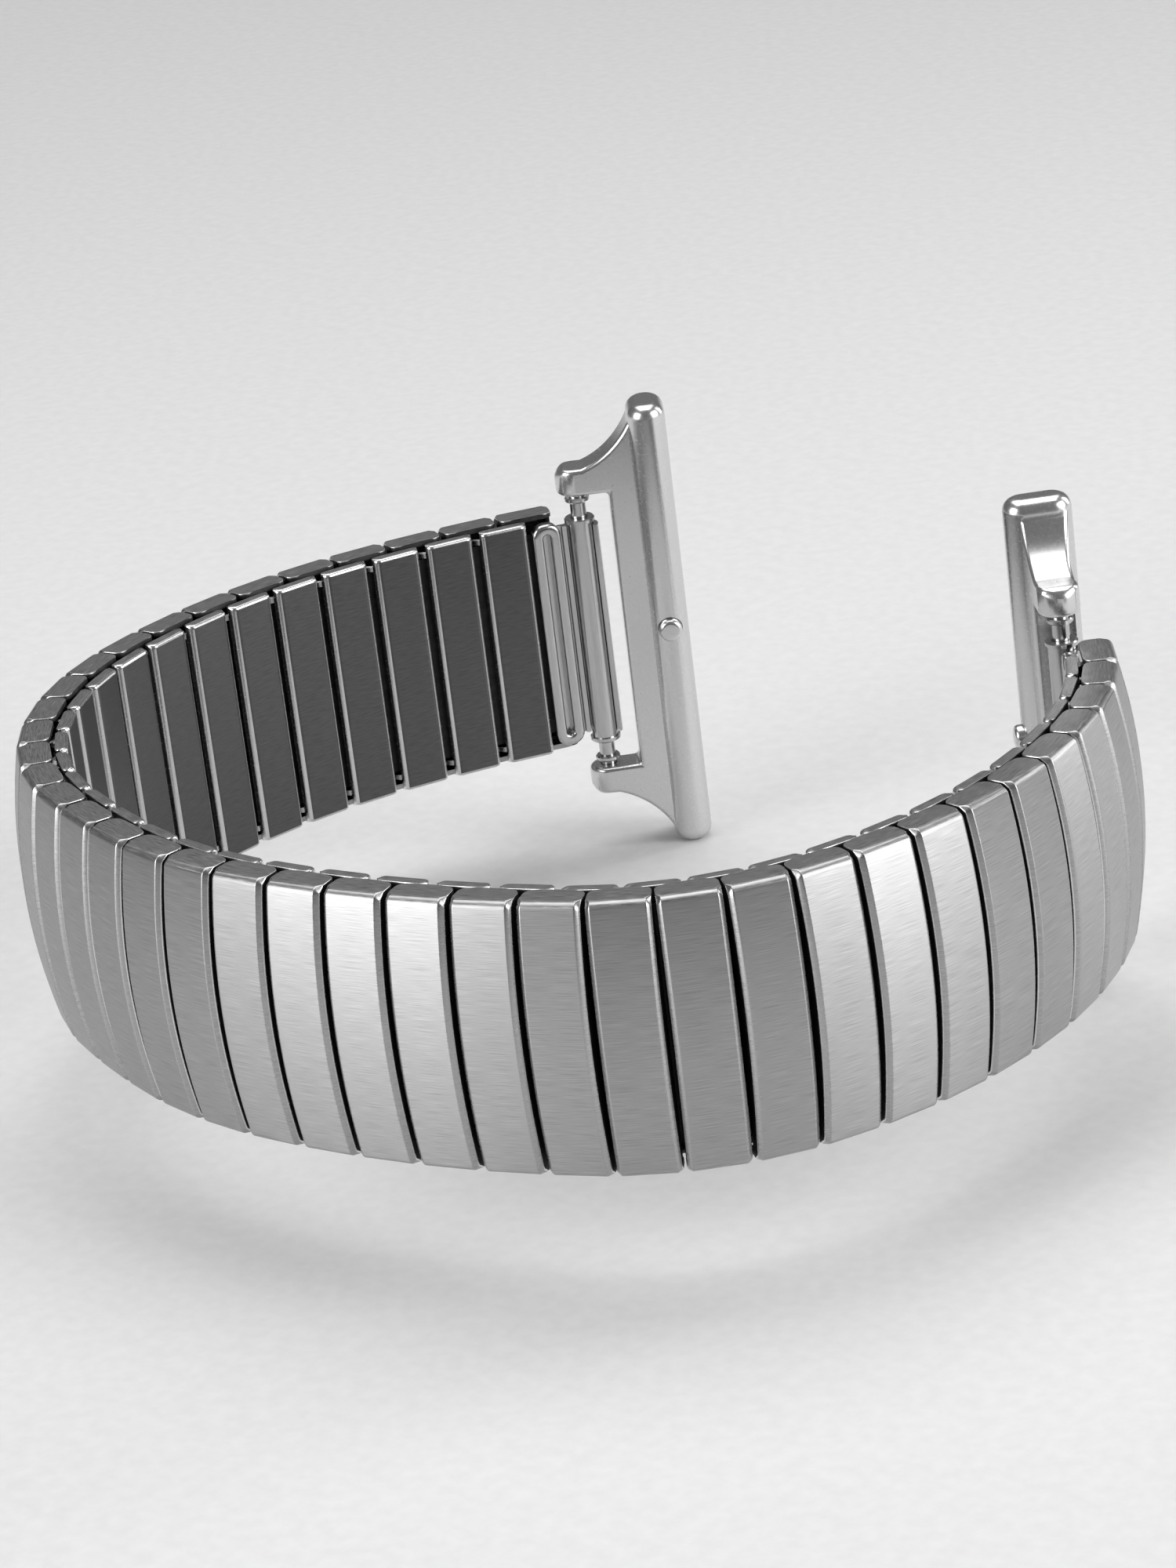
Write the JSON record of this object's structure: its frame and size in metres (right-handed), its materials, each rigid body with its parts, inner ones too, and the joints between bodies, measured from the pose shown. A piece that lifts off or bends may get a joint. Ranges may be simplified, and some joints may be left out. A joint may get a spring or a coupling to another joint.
{
  "type": "expansion watch band",
  "caption": "Looped stretch watch band of two staggered rows of steel links on sprung bows, with pivoting slide-in adapters at both ends.",
  "frame": {"origin": "under the middle of the whole looped band, at the height of the adapters' lower ends, which it stands on", "axes": "+Z along the band's width, +Y from the closed side of the loop towards its open side between the adapters, +X across the loop from the left adapter to the right one"},
  "size_m": [0.072, 0.063, 0.032],
  "materials": {
    "brushed_link": "brushed face along the band, polished bevels, satin inner row",
    "polished_adapter": "polished",
    "polished_button": "polished",
    "spring_bar_steel": "smooth turned"
  },
  "bodies": {
    "link_01": {"link_01": "brushed_link", "spring_bar_right": "spring_bar_steel"},
    "link_02": {"link_02": "brushed_link"},
    "outer_link_03": {"outer_link_03": "brushed_link"},
    "inner_link_03": {"inner_link_03": "brushed_link"},
    "link_04": {"link_04": "brushed_link"},
    "link_05": {"link_05": "brushed_link"},
    "outer_link_06": {"outer_link_06": "brushed_link"},
    "inner_link_06": {"inner_link_06": "brushed_link"},
    "link_07": {"link_07": "brushed_link"},
    "link_08": {"link_08": "brushed_link"},
    "link_09": {"link_09": "brushed_link"},
    "outer_link_10": {"outer_link_10": "brushed_link"},
    "inner_link_10": {"inner_link_10": "brushed_link"},
    "link_11": {"link_11": "brushed_link"},
    "outer_link_12": {"outer_link_12": "brushed_link"},
    "inner_link_12": {"inner_link_12": "brushed_link"},
    "link_13": {"link_13": "brushed_link"},
    "outer_link_14": {"outer_link_14": "brushed_link"},
    "inner_link_14": {"inner_link_14": "brushed_link"},
    "link_15": {"link_15": "brushed_link"},
    "link_16": {"link_16": "brushed_link"},
    "link_17": {"link_17": "brushed_link"},
    "link_18": {"link_18": "brushed_link"},
    "link_19": {"link_19": "brushed_link"},
    "outer_link_20": {"outer_link_20": "brushed_link"},
    "inner_link_20": {"inner_link_20": "brushed_link"},
    "link_21": {"link_21": "brushed_link"},
    "link_22": {"link_22": "brushed_link"},
    "outer_link_23": {"outer_link_23": "brushed_link"},
    "inner_link_23": {"inner_link_23": "brushed_link"},
    "link_24": {"link_24": "brushed_link"},
    "link_25": {"link_25": "brushed_link"},
    "link_26": {"link_26": "brushed_link"},
    "outer_link_27": {"outer_link_27": "brushed_link"},
    "inner_link_27": {"inner_link_27": "brushed_link"},
    "link_28": {"link_28": "brushed_link"},
    "outer_link_29": {"outer_link_29": "brushed_link"},
    "inner_link_29": {"inner_link_29": "brushed_link"},
    "link_30": {"link_30": "brushed_link"},
    "link_31": {"link_31": "brushed_link"},
    "outer_link_32": {"outer_link_32": "brushed_link"},
    "inner_link_32": {"inner_link_32": "brushed_link"},
    "link_33": {"link_33": "brushed_link"},
    "link_34": {"link_34": "brushed_link"},
    "link_35": {"link_35": "brushed_link"},
    "outer_link_36": {"outer_link_36": "brushed_link"},
    "inner_link_36": {"inner_link_36": "brushed_link"},
    "link_37": {"link_37": "brushed_link"},
    "link_38": {"link_38": "brushed_link"},
    "link_39": {"link_39": "brushed_link", "spring_bar_left": "spring_bar_steel"},
    "adapter_left": {"adapter_left": "polished_adapter"},
    "lock_button_left": {"lock_button_left": "polished_button"},
    "spring_bar_tip_upper_left": {"spring_bar_tip_upper_left": "spring_bar_steel"},
    "spring_bar_tip_lower_left": {"spring_bar_tip_lower_left": "spring_bar_steel"},
    "adapter_right": {"adapter_right": "polished_adapter"},
    "lock_button_right": {"lock_button_right": "polished_button"},
    "spring_bar_tip_upper_right": {"spring_bar_tip_upper_right": "spring_bar_steel"},
    "spring_bar_tip_lower_right": {"spring_bar_tip_lower_right": "spring_bar_steel"}
  },
  "joints": [
    {"name": "stretch_20", "type": "slide", "parent": "link_19", "child": "inner_link_20", "axis": [-0.9848, -0.1736, 0], "range_m": [0, 0.00125], "stiffness_N_per_m": 2000},
    {"name": "flex_20", "type": "hinge", "parent": "inner_link_20", "child": "outer_link_20", "pos_m": [0.00237, -0.03032, 0.016], "axis": [0, 0, -1], "range_deg": [-23, 3.2]},
    {"name": "stretch_21", "type": "slide", "parent": "outer_link_20", "child": "link_21", "axis": [-0.9983, -0.0576, 0], "range_m": [0, 0.00125]},
    {"name": "stretch_22", "type": "slide", "parent": "link_21", "child": "link_22", "axis": [-0.9982, 0.0593, 0], "range_m": [0, 0.00125]},
    {"name": "stretch_23", "type": "slide", "parent": "link_22", "child": "inner_link_23", "axis": [-0.9845, 0.1754, 0], "range_m": [0, 0.00125]},
    {"name": "flex_23", "type": "hinge", "parent": "inner_link_23", "child": "outer_link_23", "pos_m": [-0.00985, -0.02959, 0.016], "axis": [0, 0, -1], "range_deg": [-23, 3.2]},
    {"name": "stretch_24", "type": "slide", "parent": "outer_link_23", "child": "link_24", "axis": [-0.9715, 0.2368, 0], "range_m": [0, 0.00125]},
    {"name": "stretch_25", "type": "slide", "parent": "link_24", "child": "link_25", "axis": [-0.9548, 0.2974, 0], "range_m": [0, 0.00125]},
    {"name": "stretch_26", "type": "slide", "parent": "link_25", "child": "link_26", "axis": [-0.8988, 0.4384, 0], "range_m": [0, 0.00125]},
    {"name": "stretch_27", "type": "slide", "parent": "link_26", "child": "inner_link_27", "axis": [-0.8221, 0.5693, 0], "range_m": [0, 0.00125]},
    {"name": "flex_27", "type": "hinge", "parent": "inner_link_27", "child": "outer_link_27", "pos_m": [-0.0248, -0.02327, 0.016], "axis": [0, 0, -1], "range_deg": [-23, 3.2]},
    {"name": "stretch_28", "type": "slide", "parent": "outer_link_27", "child": "link_28", "axis": [-0.7266, 0.6871, 0], "range_m": [0, 0.00125]},
    {"name": "stretch_29", "type": "slide", "parent": "link_28", "child": "inner_link_29", "axis": [-0.6143, 0.7891, 0], "range_m": [0, 0.00125]},
    {"name": "flex_29", "type": "hinge", "parent": "inner_link_29", "child": "outer_link_29", "pos_m": [-0.0303, -0.01722, 0.016], "axis": [0, 0, -1], "range_deg": [-23, 3.2]},
    {"name": "stretch_30", "type": "slide", "parent": "outer_link_29", "child": "link_30", "axis": [-0.4879, 0.8729, 0], "range_m": [0, 0.00125]},
    {"name": "stretch_31", "type": "slide", "parent": "link_30", "child": "link_31", "axis": [-0.3502, 0.9367, 0], "range_m": [0, 0.00125]},
    {"name": "stretch_32", "type": "slide", "parent": "link_31", "child": "inner_link_32", "axis": [-0.2045, 0.9789, 0], "range_m": [0, 0.00125]},
    {"name": "flex_32", "type": "hinge", "parent": "inner_link_32", "child": "outer_link_32", "pos_m": [-0.03457, -0.00578, 0.016], "axis": [0, 0, -1], "range_deg": [-23, 3.2]},
    {"name": "stretch_33", "type": "slide", "parent": "outer_link_32", "child": "link_33", "axis": [-0.1063, 0.9943, 0], "range_m": [0, 0.00125]},
    {"name": "stretch_34", "type": "slide", "parent": "link_33", "child": "link_34", "axis": [-0.007, 1, 0], "range_m": [0, 0.00125]},
    {"name": "stretch_35", "type": "slide", "parent": "link_34", "child": "link_35", "axis": [0.0924, 0.9957, 0], "range_m": [0, 0.00125]},
    {"name": "stretch_36", "type": "slide", "parent": "link_35", "child": "inner_link_36", "axis": [0.1908, 0.9816, 0], "range_m": [0, 0.00125]},
    {"name": "flex_36", "type": "hinge", "parent": "inner_link_36", "child": "outer_link_36", "pos_m": [-0.03388, 0.0105, 0.016], "axis": [0, 0, -1], "range_deg": [-23, 3.2]},
    {"name": "stretch_37", "type": "slide", "parent": "outer_link_36", "child": "link_37", "axis": [0.2874, 0.9578, 0], "range_m": [0, 0.00125]},
    {"name": "stretch_38", "type": "slide", "parent": "link_37", "child": "link_38", "axis": [0.3453, 0.9385, 0], "range_m": [0, 0.00125]},
    {"name": "stretch_39", "type": "slide", "parent": "link_38", "child": "link_39", "axis": [0.4019, 0.9157, 0], "range_m": [0, 0.00125]},
    {"name": "stretch_19", "type": "slide", "parent": "link_19", "child": "link_18", "axis": [0.9707, 0.2402, 0], "range_m": [0, 0.00125]},
    {"name": "stretch_18", "type": "slide", "parent": "link_18", "child": "link_17", "axis": [0.9521, 0.3057, 0], "range_m": [0, 0.00125]},
    {"name": "stretch_17", "type": "slide", "parent": "link_17", "child": "link_16", "axis": [0.9291, 0.3697, 0], "range_m": [0, 0.00125]},
    {"name": "stretch_16", "type": "slide", "parent": "link_16", "child": "link_15", "axis": [0.9018, 0.4321, 0], "range_m": [0, 0.00125]},
    {"name": "stretch_15", "type": "slide", "parent": "link_15", "child": "outer_link_14", "axis": [0.8704, 0.4924, 0], "range_m": [0, 0.00125]},
    {"name": "flex_14", "type": "hinge", "parent": "outer_link_14", "child": "inner_link_14", "pos_m": [0.02537, -0.02206, 0.016], "axis": [0, 0, 1], "range_deg": [-23, 2.5]},
    {"name": "stretch_14", "type": "slide", "parent": "inner_link_14", "child": "link_13", "axis": [0.7604, 0.6494, 0], "range_m": [0, 0.00125]},
    {"name": "stretch_13", "type": "slide", "parent": "link_13", "child": "outer_link_12", "axis": [0.6225, 0.7826, 0], "range_m": [0, 0.00125]},
    {"name": "flex_12", "type": "hinge", "parent": "outer_link_12", "child": "inner_link_12", "pos_m": [0.03104, -0.01619, 0.016], "axis": [0, 0, 1], "range_deg": [-23, 2.5]},
    {"name": "stretch_12", "type": "slide", "parent": "inner_link_12", "child": "link_11", "axis": [0.4617, 0.887, 0], "range_m": [0, 0.00125]},
    {"name": "stretch_11", "type": "slide", "parent": "link_11", "child": "outer_link_10", "axis": [0.284, 0.9588, 0], "range_m": [0, 0.00125]},
    {"name": "flex_10", "type": "hinge", "parent": "outer_link_10", "child": "inner_link_10", "pos_m": [0.0341, -0.00862, 0.016], "axis": [0, 0, 1], "range_deg": [-23, 3.2]},
    {"name": "stretch_10", "type": "slide", "parent": "inner_link_10", "child": "link_09", "axis": [0.1736, 0.9848, 0], "range_m": [0, 0.00125]},
    {"name": "stretch_09", "type": "slide", "parent": "link_09", "child": "link_08", "axis": [0.061, 0.9981, 0], "range_m": [0, 0.00125]},
    {"name": "stretch_08", "type": "slide", "parent": "link_08", "child": "link_07", "axis": [-0.0523, 0.9986, 0], "range_m": [0, 0.00125]},
    {"name": "stretch_07", "type": "slide", "parent": "link_07", "child": "outer_link_06", "axis": [-0.165, 0.9863, 0], "range_m": [0, 0.00125]},
    {"name": "flex_06", "type": "hinge", "parent": "outer_link_06", "child": "inner_link_06", "pos_m": [0.03417, 0.00765, 0.016], "axis": [0, 0, 1], "range_deg": [-23, 3.2]},
    {"name": "stretch_06", "type": "slide", "parent": "inner_link_06", "child": "link_05", "axis": [-0.2756, 0.9613, 0], "range_m": [0, 0.00125]},
    {"name": "stretch_05", "type": "slide", "parent": "link_05", "child": "link_04", "axis": [-0.3827, 0.9239, 0], "range_m": [0, 0.00125]},
    {"name": "stretch_04", "type": "slide", "parent": "link_04", "child": "outer_link_03", "axis": [-0.4848, 0.8746, 0], "range_m": [0, 0.00125]},
    {"name": "flex_03", "type": "hinge", "parent": "outer_link_03", "child": "inner_link_03", "pos_m": [0.02948, 0.01896, 0.016], "axis": [0, 0, 1], "range_deg": [-23, 3.2]},
    {"name": "stretch_03", "type": "slide", "parent": "inner_link_03", "child": "link_02", "axis": [-0.6157, 0.788, 0], "range_m": [0, 0.00125]},
    {"name": "stretch_02", "type": "slide", "parent": "link_02", "child": "link_01", "axis": [-0.7314, 0.682, 0], "range_m": [0, 0.00125]},
    {"name": "adapter_pivot_left", "type": "hinge", "parent": "link_39", "child": "adapter_left", "pos_m": [-0.02452, 0.02564, 0.016], "axis": [0, 0, -1], "range_deg": [-35, 35]},
    {"name": "spring_bar_tip_upper_left_push", "type": "slide", "parent": "link_39", "child": "spring_bar_tip_upper_left", "axis": [0, 0, -1], "range_m": [0, 0.001], "stiffness_N_per_m": 900},
    {"name": "spring_bar_tip_lower_left_push", "type": "slide", "parent": "link_39", "child": "spring_bar_tip_lower_left", "axis": [0, 0, 1], "range_m": [0, 0.001], "stiffness_N_per_m": 900},
    {"name": "lock_button_left_push", "type": "slide", "parent": "adapter_left", "child": "lock_button_left", "axis": [-0.7524, 0.6587, 0], "range_m": [0, 0.0005], "stiffness_N_per_m": 900},
    {"name": "adapter_pivot_right", "type": "hinge", "parent": "link_01", "child": "adapter_right", "pos_m": [0.02092, 0.02386, 0.016], "axis": [0, 0, 1], "range_deg": [-35, 35]},
    {"name": "spring_bar_tip_upper_right_push", "type": "slide", "parent": "link_01", "child": "spring_bar_tip_upper_right", "axis": [0, 0, -1], "range_m": [0, 0.001], "stiffness_N_per_m": 900},
    {"name": "spring_bar_tip_lower_right_push", "type": "slide", "parent": "link_01", "child": "spring_bar_tip_lower_right", "axis": [0, 0, 1], "range_m": [0, 0.001], "stiffness_N_per_m": 900},
    {"name": "lock_button_right_push", "type": "slide", "parent": "adapter_right", "child": "lock_button_right", "axis": [0.6157, 0.788, 0], "range_m": [0, 0.0005], "stiffness_N_per_m": 900}
  ],
  "couplings": [
    {"joint": "stretch_21", "follows": "stretch_20", "ratio": 1},
    {"joint": "stretch_22", "follows": "stretch_20", "ratio": 1},
    {"joint": "stretch_23", "follows": "stretch_20", "ratio": 1},
    {"joint": "stretch_24", "follows": "stretch_20", "ratio": 1},
    {"joint": "stretch_25", "follows": "stretch_20", "ratio": 1},
    {"joint": "stretch_26", "follows": "stretch_20", "ratio": 1},
    {"joint": "stretch_27", "follows": "stretch_20", "ratio": 1},
    {"joint": "stretch_28", "follows": "stretch_20", "ratio": 1},
    {"joint": "stretch_29", "follows": "stretch_20", "ratio": 1},
    {"joint": "stretch_30", "follows": "stretch_20", "ratio": 1},
    {"joint": "stretch_31", "follows": "stretch_20", "ratio": 1},
    {"joint": "stretch_32", "follows": "stretch_20", "ratio": 1},
    {"joint": "stretch_33", "follows": "stretch_20", "ratio": 1},
    {"joint": "stretch_34", "follows": "stretch_20", "ratio": 1},
    {"joint": "stretch_35", "follows": "stretch_20", "ratio": 1},
    {"joint": "stretch_36", "follows": "stretch_20", "ratio": 1},
    {"joint": "stretch_37", "follows": "stretch_20", "ratio": 1},
    {"joint": "stretch_38", "follows": "stretch_20", "ratio": 1},
    {"joint": "stretch_39", "follows": "stretch_20", "ratio": 1},
    {"joint": "stretch_19", "follows": "stretch_20", "ratio": 1},
    {"joint": "stretch_18", "follows": "stretch_20", "ratio": 1},
    {"joint": "stretch_17", "follows": "stretch_20", "ratio": 1},
    {"joint": "stretch_16", "follows": "stretch_20", "ratio": 1},
    {"joint": "stretch_15", "follows": "stretch_20", "ratio": 1},
    {"joint": "stretch_14", "follows": "stretch_20", "ratio": 1},
    {"joint": "stretch_13", "follows": "stretch_20", "ratio": 1},
    {"joint": "stretch_12", "follows": "stretch_20", "ratio": 1},
    {"joint": "stretch_11", "follows": "stretch_20", "ratio": 1},
    {"joint": "stretch_10", "follows": "stretch_20", "ratio": 1},
    {"joint": "stretch_09", "follows": "stretch_20", "ratio": 1},
    {"joint": "stretch_08", "follows": "stretch_20", "ratio": 1},
    {"joint": "stretch_07", "follows": "stretch_20", "ratio": 1},
    {"joint": "stretch_06", "follows": "stretch_20", "ratio": 1},
    {"joint": "stretch_05", "follows": "stretch_20", "ratio": 1},
    {"joint": "stretch_04", "follows": "stretch_20", "ratio": 1},
    {"joint": "stretch_03", "follows": "stretch_20", "ratio": 1},
    {"joint": "stretch_02", "follows": "stretch_20", "ratio": 1}
  ]
}
